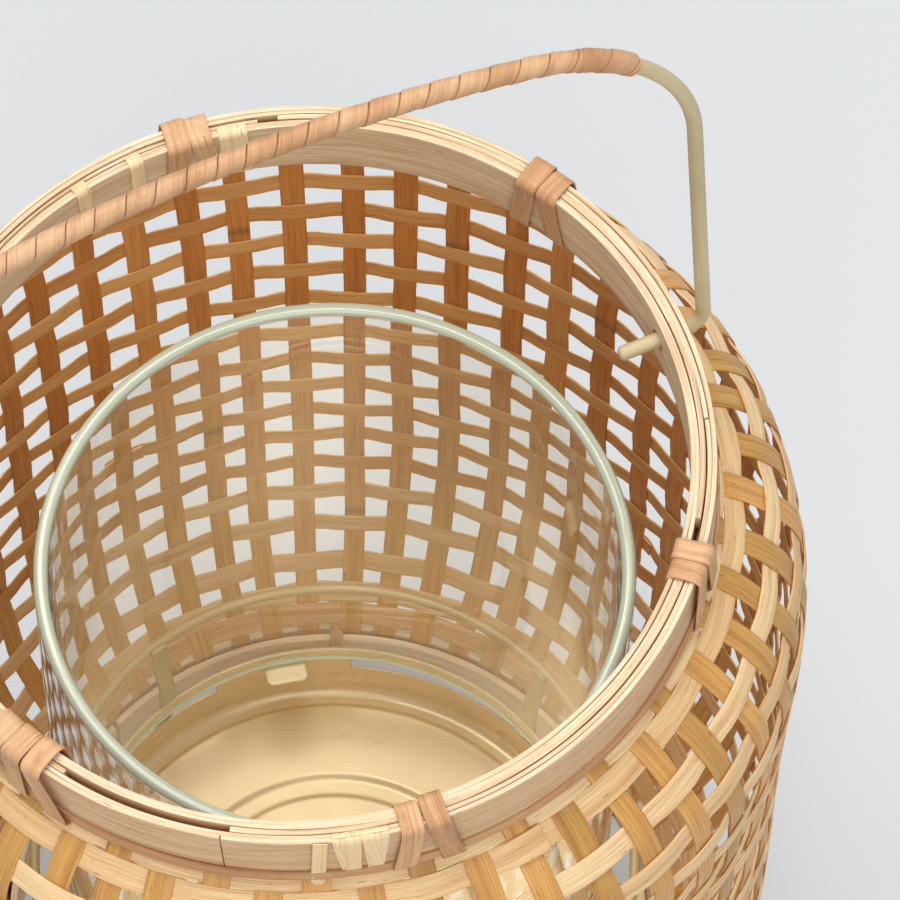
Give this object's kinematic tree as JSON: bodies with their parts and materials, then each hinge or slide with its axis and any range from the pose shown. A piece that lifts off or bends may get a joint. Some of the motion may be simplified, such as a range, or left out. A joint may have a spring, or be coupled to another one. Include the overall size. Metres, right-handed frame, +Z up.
{
  "type": "candle lantern",
  "caption": "Woven bamboo candle lantern with an open plain-weave body, laced rim, wire bail handle, steel candle pan and a lift-out glass cylinder.",
  "frame": {"origin": "centre of the underside of the foot, on the axis of the pan and the glass", "axes": "+Z up along the glass's axis; the wall leans towards -X; the bail's pivots lie 25 degrees from the X axis"},
  "size_m": [0.2471, 0.247, 0.4332],
  "materials": {
    "bamboo_stakes": "satin split bamboo skin, warm tan",
    "bamboo_weavers": "matte split bamboo, pale tan",
    "bamboo_hoops": "matte cream bamboo with fine grain",
    "rattan": "matte peeled rattan strip, pinkish tan",
    "painted_wire": "satin olive beige paint",
    "painted_steel": "satin beige gold paint",
    "nail_steel": "dull steel",
    "clear_glass": "clear, faintly green at the edges"
  },
  "bodies": {
    "basket": {"pan": "painted_steel", "cross_bar_upper": "painted_steel", "cross_bar_lower": "painted_steel", "hoop_nails": "nail_steel", "guard_posts": "painted_steel", "guard_ring": "painted_steel", "foot_inner_hoop": "bamboo_hoops", "foot_outer_hoop": "bamboo_hoops", "foot_ties": "rattan", "stakes_even": "bamboo_stakes", "stakes_odd": "bamboo_stakes", "weaver_01": "bamboo_weavers", "weaver_02": "bamboo_weavers", "weaver_03": "bamboo_weavers", "weaver_04": "bamboo_weavers", "weaver_05": "bamboo_weavers", "weaver_06": "bamboo_weavers", "weaver_07": "bamboo_weavers", "weaver_08": "bamboo_weavers", "weaver_09": "bamboo_weavers", "weaver_10": "bamboo_weavers", "weaver_11": "bamboo_weavers", "weaver_12": "bamboo_weavers", "weaver_13": "bamboo_weavers", "weaver_14": "bamboo_weavers", "weaver_15": "bamboo_weavers", "weaver_16": "bamboo_weavers", "weaver_17": "bamboo_weavers", "weaver_18": "bamboo_weavers", "weaver_19": "bamboo_weavers", "weaver_20": "bamboo_weavers", "weaver_21": "bamboo_weavers", "rim_inner_hoop": "bamboo_hoops", "rim_outer_hoop": "bamboo_hoops", "rim_inner_cap": "bamboo_hoops", "rim_outer_cap": "bamboo_hoops", "rim_filler": "bamboo_hoops", "rim_runner": "rattan", "rim_ties_1": "rattan", "rim_ties_2": "rattan", "rim_ties_3": "rattan", "rim_ties_4": "rattan", "rim_ties_5": "rattan", "rim_ties_6": "rattan"},
    "bail": {"bail_wire": "painted_wire", "grip_winding": "rattan", "grip_band_left": "rattan", "grip_band_right": "rattan"},
    "glass": {"glass_cylinder": "clear_glass"}
  },
  "joints": [
    {"name": "bail_swing", "type": "hinge", "parent": "basket", "child": "bail", "pos_m": [-0.00799, 0, 0.29101], "axis": [0.9056, 0.421, 0.0513], "range_deg": [-86, 93]},
    {"name": "glass_lift", "type": "slide", "parent": "basket", "child": "glass", "axis": [0, 0, 1], "range_m": [0, 0.14]}
  ]
}
